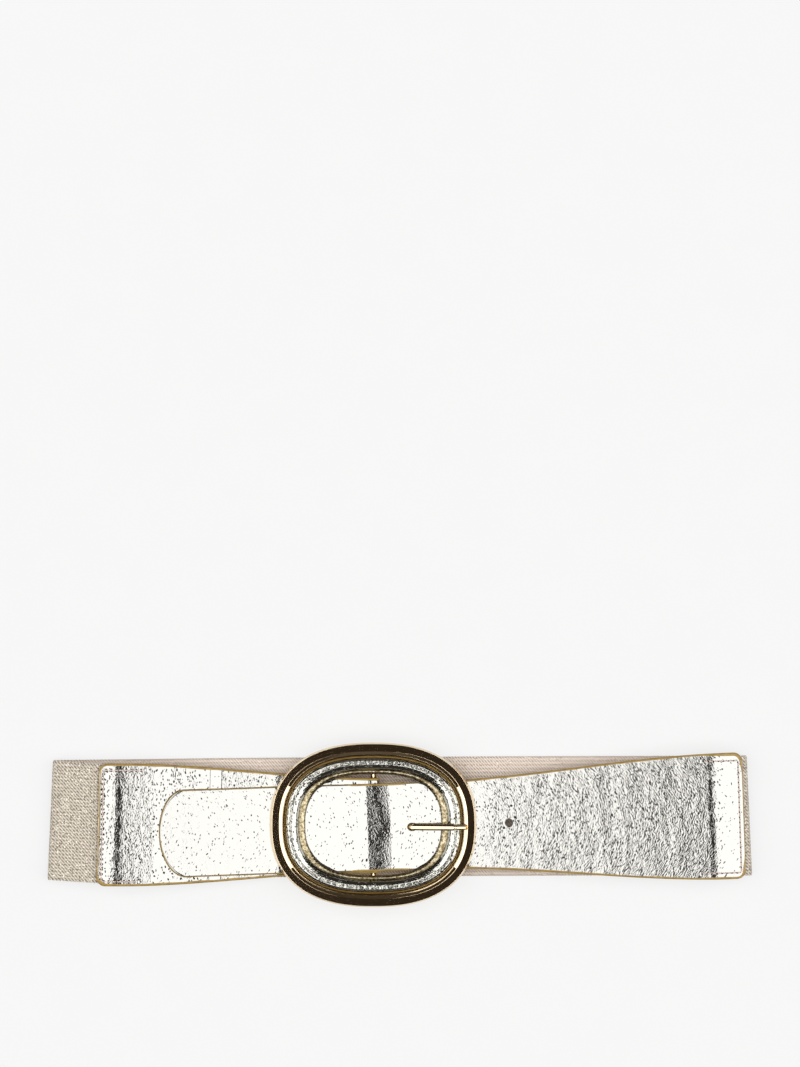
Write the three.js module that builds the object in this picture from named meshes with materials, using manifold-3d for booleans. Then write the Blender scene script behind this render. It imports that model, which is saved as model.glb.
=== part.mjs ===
// A wide elastic waist belt with two foil leather ends and a large padded oval buckle.
// It lies fastened and flattened on its back: +X along the belt, +Y across it, +Z up through
// the front. Millimetres. The origin is the middle of the underside.
import * as THREE from 'three';
import { mergeVertices } from 'three/addons/utils/BufferGeometryUtils.js';
import Module from 'manifold-3d';

const wasm = await Module();
wasm.setup();

// The flattened loop
const beltHalf = 175;
const gap = 0.3;
const crownLeftHeight = 9.3;
const crownRightHeight = 10.2;
const foldHeight = 6.6;
const foldBend = 2.8;
const crownLeftBend = 118;
const crownRightBend = 70;
const crownLeftIn = 32.5;
const crownRightIn = 14.5;

// Elastic
const elasticWide = 60;
const elasticThick = 1.4;
const elasticTuck = 21.5;
const foldSkew = 0.045;
const foldLeftY = 2.2;
const foldRightY = 4.5;
const elasticBow = 1;

// Leather
const leatherThick = 1.6;
const leatherBevel = 0.35;
const endRound = 4.5;
const buckleEndIn = 24;
const buckleEndWide = 61.4;
const buckleBarWide = 47.4;
const buckleFlareLong = 125;
const buckleEndSkew = 0.025;
const buckleY = -0.4;
const returnLong = 76.5;
const creaseDeep = 0.9;
const creaseLong = 20;
const creaseStep = 5.5;
const footFromBar = 48;
const footBend = 30;
const rampFootFromBar = 23.5;
const rampTopFromBar = 4.4;
const rampBend = 12;

// Strap
const strapWide = 43.8;
const strapReach = 107;
const tipLong = 13;
const tipBlunt = 0.15;
const strapEndIn = 3;
const strapEndWide = 63.2;
const strapFlareFrom = 28;
const strapFlareLong = 150;
const strapY = -1.3;
const strapTilt = 0.0325;
const crestFromBar = 11;
const rightRampFromBar = 23.5;
const heelFromBar = 47.5;
const holeWide = 4;
const holePitch = 24.5;
const holeCount = 3;
const holeFromBar = 18.8;
const slotLong = 7;

// Buckle
const barX = -13.2;
const barRadius = 1.5;
const frameLong = 102.7;
const frameWide = 82.3;
const frameRound = 2.4;
const windowRound = 2.6;
const bezelWide = 5.9;
const bezelHigh = 6.6;
const bezelOuter = 0.8;
const bezelTop = 3.4;
const bezelInnerDrop = 0.9;
const plateThick = 1.2;
const plateWide = 13.5;
const padWide = 6.6;
const padHigh = 4.7;
const padSeam = 1.5;
const lipLong = 34.2;
const lipWide = 25.3;
const lipThick = 1.2;
const ovalSteps = 72;

// Prong
const prongWide = 3.6;
const prongThick = 1.8;
const prongBevel = 0.5;
const prongY = -1;
const prongReach = 46;
const eyeWall = 1.1;
const prongBend = 8;

// Colours
const foilColour = 0xd9d3c6;
const elasticColour = 0xcfc3b4;
const goldColour = 0xc9a96a;

// Heights of the layers under the buckle, to the middle of each layer
const backZ = elasticThick / 2;
const returnZ = elasticThick + gap + leatherThick / 2;
const layer = leatherThick + gap;
const panelZ = returnZ + layer;
const strapZ = panelZ + layer;
const frameZ = strapZ + leatherThick / 2 + gap;
const barZ = frameZ + plateThick - barRadius;
const wrapRadius = barRadius + gap + leatherThick / 2;
const tuckStack = elasticThick / 2 + gap + leatherThick / 2;
const foldX = beltHalf - elasticThick / 2;

const smooth = (t) => {
  const u = Math.min(1, Math.max(0, t));
  return u * u * (3 - 2 * u);
};

// A point on a line of rows, where it passes the given x
function pointAt(rows, x) {
  for (let i = 1; i < rows.length; i += 1) {
    const a = rows[i - 1];
    const b = rows[i];
    const share = (x - a.x) / (b.x - a.x);
    if (share >= 0 && share <= 1) return { x, z: a.z + share * (b.z - a.z), bend: 0 };
  }
  throw new Error('the line does not reach this x');
}

const heading = (a, b) => new THREE.Vector2(b.x - a.x, b.z - a.z).normalize();

// The same line moved sideways, with its bends wider or tighter to suit
function offsetRows(rows, distance) {
  return rows.map((row, i) => {
    const before = heading(rows[Math.max(i - 1, 0)], rows[Math.max(i, 1)]);
    const after = i < rows.length - 1 ? heading(row, rows[i + 1]) : before;
    const normalX = -before.y - after.y;
    const normalZ = before.x + after.x;
    const scale = distance / (1 + before.dot(after));
    const bend = Math.max(0.5, (row.bend || 0) - distance * Math.sign(before.cross(after)));
    return { ...row, x: row.x + normalX * scale, z: row.z + normalZ * scale, bend };
  });
}

// Stations along a line of straight runs joined by round bends. Each station has its place, its
// normal, the row number it lies at, and its distance from the start.
function route(rows, step = 7, ends = {}) {
  const bendStep = 0.3;
  const corners = rows.map((row, i) => {
    if (i === 0 || i === rows.length - 1 || !row.bend) return { cut: 0, turn: 0 };
    const before = heading(rows[i - 1], row);
    const after = heading(row, rows[i + 1]);
    const turn = Math.atan2(before.cross(after), before.dot(after));
    const room = Math.min(
      Math.hypot(row.x - rows[i - 1].x, row.z - rows[i - 1].z),
      Math.hypot(row.x - rows[i + 1].x, row.z - rows[i + 1].z),
    );
    return { cut: Math.min(row.bend * Math.tan(Math.abs(turn) / 2), 0.49 * room), turn };
  });
  const stations = [];
  const put = (x, z, direction, at) => stations.push({
    x, z, nx: -direction.y, nz: direction.x, at,
  });
  for (let i = 0; i < rows.length - 1; i += 1) {
    const length = Math.hypot(rows[i + 1].x - rows[i].x, rows[i + 1].z - rows[i].z);
    const direction = heading(rows[i], rows[i + 1]);
    const from = corners[i].cut;
    const to = length - corners[i + 1].cut;
    const count = Math.max(1, Math.ceil((to - from) / step));
    const marks = Array.from({ length: count + 1 }, (_, k) => from + (to - from) * k / count);
    if (i === 0) marks.push(...(ends.start || []));
    if (i === rows.length - 2) marks.push(...(ends.finish || []).map((d) => length - d));
    marks.sort((a, b) => a - b);
    const kept = marks.filter((m, k) => k === 0 || m - marks[k - 1] > 0.05);
    kept.forEach((m) => put(
      rows[i].x + direction.x * m,
      rows[i].z + direction.y * m,
      direction,
      i + m / length,
    ));
    const { cut, turn } = corners[i + 1];
    if (!cut) continue;
    const nextLength = Math.hypot(rows[i + 2].x - rows[i + 1].x, rows[i + 2].z - rows[i + 1].z);
    const radius = cut / Math.tan(Math.abs(turn) / 2);
    const side = Math.sign(turn);
    const startX = rows[i + 1].x - direction.x * cut;
    const startZ = rows[i + 1].z - direction.y * cut;
    const centreX = startX - direction.y * radius * side;
    const centreZ = startZ + direction.x * radius * side;
    const pieces = Math.max(2, Math.ceil(Math.abs(turn) / bendStep));
    for (let k = 1; k < pieces; k += 1) {
      const angle = turn * k / pieces;
      const arm = new THREE.Vector2(startX - centreX, startZ - centreZ)
        .rotateAround(new THREE.Vector2(), angle);
      const facing = direction.clone().rotateAround(new THREE.Vector2(), angle);
      const atFrom = i + 1 - cut / length;
      const atTo = i + 1 + cut / nextLength;
      put(centreX + arm.x, centreZ + arm.y, facing, atFrom + (atTo - atFrom) * k / pieces);
    }
  }
  let run = 0;
  return stations.map((station, k) => {
    if (k) run += Math.hypot(station.x - stations[k - 1].x, station.z - stations[k - 1].z);
    return { ...station, run };
  });
}

// A closed body through rings of points. An open run of rings gets flat ends.
function loft(rings, closed) {
  const sides = rings[0].length;
  const points = rings.flat();
  const index = [];
  const spans = closed ? rings.length : rings.length - 1;
  for (let i = 0; i < spans; i += 1) {
    const a = i * sides;
    const b = ((i + 1) % rings.length) * sides;
    for (let k = 0; k < sides; k += 1) {
      const n = (k + 1) % sides;
      index.push(a + k, a + n, b + n, a + k, b + n, b + k);
    }
  }
  if (!closed) {
    const end = (rings.length - 1) * sides;
    for (let k = 1; k < sides - 1; k += 1) {
      index.push(0, k + 1, k, end, end + k, end + k + 1);
    }
  }
  let volume = 0;
  const corner = (i) => new THREE.Vector3(...points[i]);
  for (let i = 0; i < index.length; i += 3) {
    volume += corner(index[i]).dot(corner(index[i + 1]).cross(corner(index[i + 2])));
  }
  if (volume < 0) index.reverse();
  const geometry = new THREE.BufferGeometry();
  geometry.setAttribute('position', new THREE.Float32BufferAttribute(points.flat(), 3));
  geometry.setIndex(index);
  return geometry;
}

// A strip of even thickness along a route. Its shape gives each station's middle, half width and
// skew, and its edges are bevelled.
function strip(stations, thick, bevel, shape) {
  const high = thick / 2;
  return loft(stations.map((station) => {
    const { y, half, skew } = shape(station);
    const edge = half - bevel;
    const section = [
      [-edge, high], [edge, high], [half, high - bevel], [half, bevel - high],
      [edge, -high], [-edge, -high], [-half, bevel - high], [-half, high - bevel],
    ];
    return section.map(([across, up]) => [
      station.x + station.nx * up + skew * across,
      y + across,
      station.z + station.nz * up,
    ]);
  }), false);
}

// Half width near a square end with rounded corners
const roundedEnd = (half, fromEnd, radius) => {
  const d = Math.min(radius, Math.max(0, fromEnd));
  return half - radius + Math.sqrt(radius * radius - (radius - d) ** 2);
};
const cornerMarks = [0.04, 0.15, 0.35, 0.65, 1].map((share) => share * endRound);

const toSolid = (geometry) => {
  const bare = geometry.clone();
  bare.deleteAttribute('normal');
  bare.deleteAttribute('uv');
  const merged = mergeVertices(bare, 1e-4);
  return new wasm.Manifold(new wasm.Mesh({
    numProp: 3,
    vertProperties: new Float32Array(merged.attributes.position.array),
    triVerts: new Uint32Array(merged.index.array),
  }));
};

const toGeometry = (solid) => {
  const mesh = solid.getMesh();
  const geometry = new THREE.BufferGeometry();
  geometry.setAttribute('position', new THREE.BufferAttribute(mesh.vertProperties, 3));
  geometry.setIndex(new THREE.BufferAttribute(mesh.triVerts, 1));
  return geometry;
};

// An upright punch with round ends, as long as its width where it is a plain round one
function punch(x, y, wide, long, low, high) {
  const half = (long - wide) / 2;
  const outline = new THREE.Shape();
  outline.absarc(half, 0, wide / 2, -Math.PI / 2, Math.PI / 2);
  outline.absarc(-half, 0, wide / 2, Math.PI / 2, 3 * Math.PI / 2);
  const geometry = new THREE.ExtrudeGeometry(outline, {
    depth: high - low, bevelEnabled: false, curveSegments: 8,
  });
  geometry.translate(x, y, low);
  return toSolid(geometry);
}

// The middle line of the buckle panel's upper layer, from the left fold to the top of the bar
const leftLine = [
  { x: -foldX, z: foldHeight + tuckStack, bend: 0 },
  { x: -beltHalf + crownLeftIn, z: crownLeftHeight + tuckStack, bend: crownLeftBend },
  { x: barX - footFromBar, z: panelZ, bend: footBend },
  { x: barX - rampFootFromBar, z: panelZ, bend: rampBend },
  { x: barX - rampTopFromBar, z: barZ + wrapRadius, bend: rampBend },
  { x: barX + wrapRadius, z: barZ + wrapRadius, bend: wrapRadius },
];

// The middle line of the strap: over the buckle panel, over the bar, and out to the right fold
const overLeft = offsetRows(leftLine, layer);
const crestZ = barZ + wrapRadius + layer;
const rightLine = [
  { x: barX + crestFromBar, z: crestZ, bend: rampBend },
  { x: barX + rightRampFromBar, z: strapZ, bend: rampBend },
  { x: barX + heelFromBar, z: strapZ, bend: footBend },
  { x: beltHalf - crownRightIn, z: crownRightHeight + tuckStack, bend: crownRightBend },
  { x: foldX, z: foldHeight + tuckStack, bend: 0 },
];

// Middle of the strap and of the buckle panel across the belt
const strapMiddle = (x) => strapY + strapTilt * (x - barX);
const buckleEndX = -beltHalf + buckleEndIn;
const panelShare = (x) => (barX - x) / (barX - buckleEndX);

// Elastic: one band, its ends tucked under both panels, turned over at both folds
function elasticBand() {
  const left = offsetRows(leftLine.slice(0, 3), -tuckStack);
  const right = offsetRows(rightLine.slice(2), -tuckStack);
  const leftEnd = pointAt(left, buckleEndX + elasticTuck);
  const rightEnd = pointAt(right, beltHalf - strapEndIn - elasticTuck);
  const fold = { bend: foldBend };
  const rows = [
    { ...leftEnd, y: 0, skew: buckleEndSkew },
    { ...left[1], y: 0.2, skew: buckleEndSkew },
    { x: -foldX, z: foldHeight, ...fold, y: foldLeftY, skew: foldSkew },
    { x: -foldX, z: backZ, ...fold, y: foldLeftY, skew: foldSkew },
    { x: -foldX / 2, z: backZ, bend: 0, y: foldLeftY + elasticBow, skew: 0 },
    { x: 0, z: backZ, bend: 0, y: (foldLeftY + foldRightY) / 2 + elasticBow / 2, skew: 0 },
    { x: foldX, z: backZ, ...fold, y: foldRightY, skew: -foldSkew },
    { x: foldX, z: foldHeight, ...fold, y: foldRightY, skew: -foldSkew },
    { ...right[1], y: strapMiddle(right[1].x), skew: -strapTilt },
    { ...rightEnd, y: strapMiddle(rightEnd.x), skew: -strapTilt },
  ];
  return strip(route(rows, 22), elasticThick, 0.2, ({ at }) => {
    const i = Math.min(Math.floor(at), rows.length - 2);
    const share = at - i;
    const mix = (key) => rows[i][key] + share * (rows[i + 1][key] - rows[i][key]);
    return { y: mix('y'), half: elasticWide / 2, skew: mix('skew') };
  });
}

// Buckle panel: from its stitched end, round the bar in one fold and back under itself
function bucklePanel() {
  const [, crown, foot, rampFoot, rampTop, wrapTop] = leftLine;
  const creaseX = barX - returnLong;
  const creaseFrom = pointAt(leftLine, creaseX - creaseLong);
  const creaseLow = pointAt(leftLine, creaseX - creaseStep);
  const under = offsetRows([crown, foot, rampFoot], -layer);
  const rows = [
    pointAt(leftLine, buckleEndX),
    crown,
    { ...creaseFrom, bend: footBend },
    { ...creaseLow, z: creaseLow.z - creaseDeep, bend: creaseStep },
    { ...pointAt(leftLine, creaseX), bend: creaseStep },
    foot,
    rampFoot,
    rampTop,
    wrapTop,
    { x: wrapTop.x, z: barZ - wrapRadius, bend: wrapRadius },
    { x: barX - wrapRadius, z: barZ - wrapRadius, bend: wrapRadius },
    { x: rampFoot.x + rampTopFromBar, z: returnZ, bend: rampBend },
    under[1],
    pointAt(under, creaseX),
  ];
  const turned = rows.indexOf(wrapTop) + 0.5;
  const stations = route(rows, 7, { start: cornerMarks });
  const body = strip(stations, leatherThick, leatherBevel, ({ x, at, run }) => {
    const share = panelShare(x);
    const flare = smooth((barX - x) / buckleFlareLong);
    const half = (buckleBarWide + (buckleEndWide - buckleBarWide) * flare) / 2;
    return {
      y: buckleY * (1 - share),
      half: at > turned ? half - gap : roundedEnd(half, run, endRound),
      skew: buckleEndSkew * Math.max(0, share),
    };
  });
  const clear = wrapRadius + leatherThick;
  const slot = punch(
    barX, prongY, prongWide + 2 * gap, 2 * clear + prongWide, barZ - clear, barZ + clear,
  );
  return toGeometry(toSolid(body).subtract(slot));
}

// Strap panel: rounded tip, holes, flared end sewn over the elastic
function strapPanel() {
  const tipX = barX - strapReach;
  const tip = pointAt(overLeft, tipX);
  const end = pointAt(rightLine, beltHalf - strapEndIn);
  const rows = [
    tip,
    ...overLeft.slice(2, 5),
    ...rightLine.slice(0, 4),
    end,
  ];
  const tipMarks = [0.02, 0.06, 0.14, 0.27, 0.45, 0.7, 1].map((share) => share * tipLong);
  const stations = route(rows, 7, { start: tipMarks, finish: cornerMarks });
  const length = stations[stations.length - 1].run;
  const body = strip(stations, leatherThick, leatherBevel, ({ x, run }) => {
    const flare = smooth((x - barX - strapFlareFrom) / strapFlareLong);
    const half = (strapWide + (strapEndWide - strapWide) * flare) / 2;
    const back = 1 - Math.min(1, run / tipLong);
    const tipHalf = half * Math.max(tipBlunt, Math.sqrt(1 - back * back));
    return {
      y: strapMiddle(x),
      half: run < tipLong ? tipHalf : roundedEnd(half, length - run, endRound),
      skew: -strapTilt,
    };
  });
  let solid = toSolid(body);
  for (let i = 0; i < holeCount; i += 1) {
    const x = barX + holeFromBar + i * holePitch;
    const long = i === 0 ? slotLong : holeWide + gap;
    const wide = i === 0 ? prongWide + 2 * gap : holeWide;
    const y = i === 0 ? prongY : strapMiddle(x);
    solid = solid.subtract(punch(x, y, wide, Math.max(long, wide), 0, crestZ + strapWide));
  }
  return toGeometry(solid);
}

// A ring round the buckle's oval. Each row of the section has its inset from the frame's outline,
// or half axes of its own, and its height.
function ovalRing(section) {
  const rings = [];
  for (let i = 0; i < ovalSteps; i += 1) {
    const angle = 2 * Math.PI * i / ovalSteps;
    const c = Math.cos(angle);
    const s = Math.sin(angle);
    rings.push(section.map(({ inset, long, wide, z }) => {
      const a = long ?? frameLong / 2 - inset;
      const b = wide ?? frameWide / 2 - inset;
      const share = Math.min(1, (frameLong / 2 - a) / plateWide);
      const power = 2 / (frameRound + (windowRound - frameRound) * share);
      return [
        barX + a * Math.sign(c) * Math.abs(c) ** power,
        b * Math.sign(s) * Math.abs(s) ** power,
        z,
      ];
    }));
  }
  return loft(rings, true);
}

// Buckle frame: bezel with a steep outer facet, a broad flat top and a low inner facet, a flat
// plate under the padded ring, and the bar soldered to the plate
function buckleFrame() {
  const top = frameZ + bezelHigh;
  const plateTop = frameZ + plateThick;
  const bezel = ovalRing([
    { inset: bezelOuter * 1.7, z: frameZ },
    { inset: 0, z: frameZ + bezelHigh * 0.2 },
    { inset: 0, z: frameZ + bezelHigh * 0.6 },
    { inset: bezelOuter, z: top },
    { inset: bezelOuter + bezelTop, z: top },
    { inset: bezelWide - 0.15, z: top - bezelInnerDrop },
    { inset: bezelWide, z: plateTop },
    { inset: plateWide, z: plateTop },
    { inset: plateWide, z: frameZ },
  ]);
  const bar = new THREE.CylinderGeometry(barRadius, barRadius, frameWide - 2 * plateWide + 3, 16);
  bar.translate(barX, 0, barZ);
  return toGeometry(toSolid(bezel).add(toSolid(bar)));
}

// Padded ring: leather drawn over a domed core, its painted edge turned in round the window
const padZ = frameZ + plateThick + gap;
const padFrom = bezelWide + padSeam;
function ringWrap() {
  const pad = (share, rise) => ({ inset: padFrom + padWide * share, z: padZ + padHigh * rise });
  return ovalRing([
    pad(0, 0),
    pad(0, 0.5),
    pad(0.1, 0.8),
    pad(0.3, 0.98),
    pad(0.5, 1),
    pad(0.72, 0.88),
    pad(0.9, 0.6),
    { ...pad(1, 0), z: padZ + lipThick },
    { long: lipLong, wide: lipWide, z: padZ + lipThick },
    { long: lipLong, wide: lipWide, z: padZ },
  ]);
}

// Prong: an eye round the bar, a shank up through the strap's slot, its tip on the padded ring
function prong() {
  const onRing = padZ + padHigh + gap + prongThick / 2;
  const ringX = barX + frameLong / 2 - padFrom - padWide;
  const slotX = barX + holeFromBar;
  const strapAtSlot = pointAt(rightLine, slotX);
  const climb = (onRing - strapAtSlot.z) / (ringX - slotX);
  const startZ = barZ - gap;
  const rows = [
    { x: barX + barRadius + gap + eyeWall / 2, z: startZ, bend: 0 },
    { x: slotX - (strapAtSlot.z - startZ) / climb, z: startZ, bend: prongBend },
    { x: ringX, z: onRing, bend: prongBend },
    { x: barX + prongReach, z: onRing, bend: 0 },
  ];
  const neck = padWide * 0.9;
  const stations = route(rows, 5, { finish: [0.6, neck] });
  const length = stations[stations.length - 1].run;
  const shank = strip(stations, prongThick, prongBevel, ({ run }) => {
    const taper = length - run < neck ? 0.82 : 1;
    return { y: prongY, half: taper * (prongWide / 2), skew: 0 };
  });
  const inner = barRadius + gap;
  const outline = new THREE.Shape();
  outline.absarc(0, 0, inner + eyeWall, 0, 2 * Math.PI);
  const bore = new THREE.Path();
  bore.absarc(0, 0, inner, 0, 2 * Math.PI);
  outline.holes.push(bore);
  const eye = new THREE.ExtrudeGeometry(outline, {
    depth: prongWide, bevelEnabled: false, curveSegments: 20,
  });
  eye.rotateX(Math.PI / 2);
  eye.translate(barX, prongY + prongWide / 2, barZ);
  return toGeometry(toSolid(shank).add(toSolid(eye)));
}

const foil = new THREE.MeshStandardMaterial({ color: foilColour, roughness: 0.3, metalness: 0.9 });
const woven = new THREE.MeshStandardMaterial({ color: elasticColour, roughness: 0.8 });
const gold = new THREE.MeshStandardMaterial({ color: goldColour, roughness: 0.12, metalness: 1 });

const belt = new THREE.Group();
const add = (name, geometry, material) => {
  const mesh = new THREE.Mesh(geometry, material);
  mesh.name = name;
  belt.add(mesh);
};
add('elastic_band', elasticBand(), woven);
add('buckle_panel', bucklePanel(), foil);
add('strap_panel', strapPanel(), foil);
add('buckle_frame', buckleFrame(), gold);
add('ring_wrap', ringWrap(), foil);
add('prong', prong(), gold);

export default belt;
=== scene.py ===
import math

import bpy
import numpy as np
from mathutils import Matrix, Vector, noise


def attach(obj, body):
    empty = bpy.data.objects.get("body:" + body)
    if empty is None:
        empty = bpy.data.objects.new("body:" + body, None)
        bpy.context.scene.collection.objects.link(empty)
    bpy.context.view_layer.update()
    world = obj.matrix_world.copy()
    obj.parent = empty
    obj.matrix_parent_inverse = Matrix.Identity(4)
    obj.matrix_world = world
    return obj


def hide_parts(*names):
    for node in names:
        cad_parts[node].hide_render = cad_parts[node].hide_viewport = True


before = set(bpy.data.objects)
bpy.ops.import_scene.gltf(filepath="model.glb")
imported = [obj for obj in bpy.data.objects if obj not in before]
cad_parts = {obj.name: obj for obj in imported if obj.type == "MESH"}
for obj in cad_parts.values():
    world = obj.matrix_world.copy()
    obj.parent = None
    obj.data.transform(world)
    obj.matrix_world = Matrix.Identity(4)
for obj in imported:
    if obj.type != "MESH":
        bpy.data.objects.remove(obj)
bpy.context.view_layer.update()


# Elastic band
# One woven elastic, polyester over rubber threads with a metallic yarn in its outer face. It makes
# the back of the loop, turns over at both ends and is sewn under both leather parts.
MM = 0.001
belt_half = 175
gap = 0.3
elastic_wide = 60
elastic_thick = 1.4
elastic_tuck = 21.5
elastic_bow = 1
fold_height = 6.6
fold_bend = 2.8
fold_skew = 0.045
selvedge_wide = 1.2
scallop_pitch = 1.86
scallop_deep = 0.12
rib_pitch = 2.3
rib_deep = 0.035
fold_left_y = 2.2
fold_right_y = 4.5
crown_left_height = 9.3
crown_right_height = 10.2
crown_left_in = 32.5
crown_left_bend = 118
crown_right_in = 14.5
crown_right_bend = 70

# The leather that lies over it sets where its ends run
leather_thick = 1.6
bar_x = -13.2
bar_radius = 1.5
plate_thick = 1.2
back_z = elastic_thick / 2
return_z = elastic_thick + gap + leather_thick / 2
layer = leather_thick + gap
panel_z = return_z + layer
strap_z = panel_z + layer
frame_z = strap_z + leather_thick / 2 + gap
bar_z = frame_z + plate_thick - bar_radius
wrap_radius = bar_radius + gap + leather_thick / 2
tuck_stack = elastic_thick / 2 + gap + leather_thick / 2
fold_x = belt_half - elastic_thick / 2
crest_z = bar_z + wrap_radius + layer
buckle_end_x = -belt_half + 24
buckle_end_skew = 0.025
strap_end_x = belt_half - 3
strap_y = -1.3
strap_tilt = 0.0325

# Side views of the layers as corners: x, z and the radius of the bend there
left_line = [
    (-fold_x, fold_height + tuck_stack, 0),
    (-belt_half + crown_left_in, crown_left_height + tuck_stack, crown_left_bend),
    (bar_x - 48, panel_z, 30),
    (bar_x - 23.5, panel_z, 12),
    (bar_x - 4.4, bar_z + wrap_radius, 12),
    (bar_x + wrap_radius, bar_z + wrap_radius, wrap_radius),
]
right_line = [
    (bar_x + 11, crest_z, 12),
    (bar_x + 23.5, strap_z, 12),
    (bar_x + 47.5, strap_z, 30),
    (belt_half - crown_right_in, crown_right_height + tuck_stack, crown_right_bend),
    (fold_x, fold_height + tuck_stack, 0),
]


def smooth(share):
    share = np.clip(share, 0, 1)
    return share * share * (3 - 2 * share)


def point_on(corners, x):
    """Where a side view passes x."""
    for (ax, az, _), (bx, bz, _) in zip(corners, corners[1:]):
        share = (x - ax) / (bx - ax)
        if 0 <= share <= 1:
            return (x, az + share * (bz - az), 0)
    raise ValueError("the side view does not reach this x")


def stacked(corners, distance):
    """The side view of the layer that lies this far above another, or below it."""
    made = []
    for i, (x, z, bend) in enumerate(corners):
        before = Vector(corners[max(i, 1)][:2]) - Vector(corners[max(i - 1, 0)][:2])
        before.normalize()
        after = before.copy()
        if i < len(corners) - 1:
            after = (Vector(corners[i + 1][:2]) - Vector((x, z))).normalized()
        shift = Vector((-before.y - after.y, before.x + after.x)) * distance / (1 + before @ after)
        turn = before.x * after.y - before.y * after.x
        bend = max(0.5, bend - distance * np.sign(turn))
        made.append((x + shift.x, z + shift.y, bend))
    return made


def bent_line(corners, spacing=0.2):
    """A side view with its bends round: distance, x, z, normal and corner number at even steps."""
    at, points = [0.0], [np.array(corners[0][:2], float)]
    lengths = [math.dist(a[:2], b[:2]) for a, b in zip(corners, corners[1:])]
    for i in range(1, len(corners) - 1):
        corner = np.array(corners[i][:2], float)
        back = (np.array(corners[i - 1][:2]) - corner) / lengths[i - 1]
        ahead = (np.array(corners[i + 1][:2]) - corner) / lengths[i]
        turn = math.pi - math.acos(float(np.clip(back @ ahead, -1, 1)))
        if turn < 1e-4 or not corners[i][2]:
            at.append(float(i))
            points.append(corner)
            continue
        cut = min(corners[i][2] * math.tan(turn / 2), 0.49 * min(lengths[i - 1], lengths[i]))
        radius = cut / math.tan(turn / 2)
        centre = corner + (back + ahead) / np.linalg.norm(back + ahead) * math.hypot(cut, radius)
        start, finish = corner + back * cut - centre, corner + ahead * cut - centre
        for share in np.linspace(0, 1, max(3, math.ceil(turn / 0.04))):
            arm = start * math.sin((1 - share) * turn) + finish * math.sin(share * turn)
            points.append(centre + arm / math.sin(turn))
            at.append(i - cut / lengths[i - 1] * (1 - share) + cut / lengths[i] * share)
    at.append(float(len(corners) - 1))
    points.append(np.array(corners[-1][:2], float))
    points = np.array(points)
    run = np.concatenate([[0], np.cumsum(np.linalg.norm(np.diff(points, axis=0), axis=1))])
    even = np.linspace(0, run[-1], math.ceil(run[-1] / spacing) + 1)
    x, z, at = (np.interp(even, run, row) for row in (points[:, 0], points[:, 1], at))
    heading = np.stack([np.gradient(x, even), np.gradient(z, even)])
    heading /= np.linalg.norm(heading, axis=0)
    return {"run": even, "x": x, "z": z, "nx": -heading[1], "nz": heading[0], "at": at}


def on_line(cut, key, run):
    """One row of a cut's line, such as its x, at these distances along the cut."""
    return np.interp(run, cut["line"]["run"], cut["line"][key])


def lay(cut, run, across, up):
    """Points of a flat cut, in metres, once it is laid along its line. up is along its normal."""
    x, z, nx, nz, at = (on_line(cut, key, run) for key in ("x", "z", "nx", "nz", "at"))
    middle, skew = cut["across"](x, at)
    return np.stack([x + nx * up + skew * across, middle + across, z + nz * up], axis=-1) * MM


def linked(name, data):
    """A new object in the scene with this mesh, lamp or lens."""
    made = bpy.data.objects.new(name, data)
    bpy.context.scene.collection.objects.link(made)
    return made


def around_circle(steps):
    return np.linspace(0, 2 * np.pi, steps, endpoint=False)


def skin(name, rings, spread=None, closed=False, material_of=None):
    """A closed mesh through rings of points. spread holds each corner's place on the flat cut."""
    count, sides = rings.shape[:2]
    index = np.arange(count * sides).reshape(count, sides)
    rows = np.vstack([index, index[:1]]) if closed else index
    loops = np.hstack([rows, rows[:, :1]])
    quads = np.stack([loops[:-1, :-1], loops[:-1, 1:], loops[1:, 1:], loops[1:, :-1]], axis=-1)
    quads = quads.reshape(-1, 4)
    points = rings.reshape(-1, 3)
    a, b, c, d = (points[quads[:, k]] for k in range(4))
    volume = np.einsum("ij,ij->i", a, np.cross(b, c) + np.cross(c, d)).sum()
    faces = (quads if volume > 0 else quads[:, ::-1]).tolist()
    if not closed:
        ends = [index[0][::-1].tolist(), index[-1].tolist()]
        faces += ends if volume > 0 else [end[::-1] for end in ends]
    mesh = bpy.data.meshes.new(name)
    mesh.from_pydata(points.tolist(), [], faces)
    if spread is not None:
        table = np.stack([spread[:-1, :-1], spread[:-1, 1:], spread[1:, 1:], spread[1:, :-1]], axis=2)
        table = table.reshape(-1, 4, 2)
        corners = (table if volume > 0 else table[:, ::-1]).reshape(-1, 2)
        corners = np.vstack([corners, np.zeros((len(mesh.loops) - len(corners), 2))])
        mesh.uv_layers.new(name="cut").data.foreach_set("uv", corners.astype(np.float32).ravel())
    mesh.polygons.foreach_set("use_smooth", [True] * len(mesh.polygons))
    if material_of is not None:
        spans = count if closed else count - 1
        numbers = np.tile(material_of, spans).tolist()
        numbers += [0] * (len(mesh.polygons) - len(numbers))
        mesh.polygons.foreach_set("material_index", numbers)
    return linked(name, mesh)


def linear(code):
    """An sRGB hex colour as linear values with full alpha."""
    channels = [int(code[i:i + 2], 16) / 255 for i in (1, 3, 5)]
    return [c / 12.92 if c <= 0.04045 else ((c + 0.055) / 1.055) ** 2.4 for c in channels] + [1]


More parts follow.
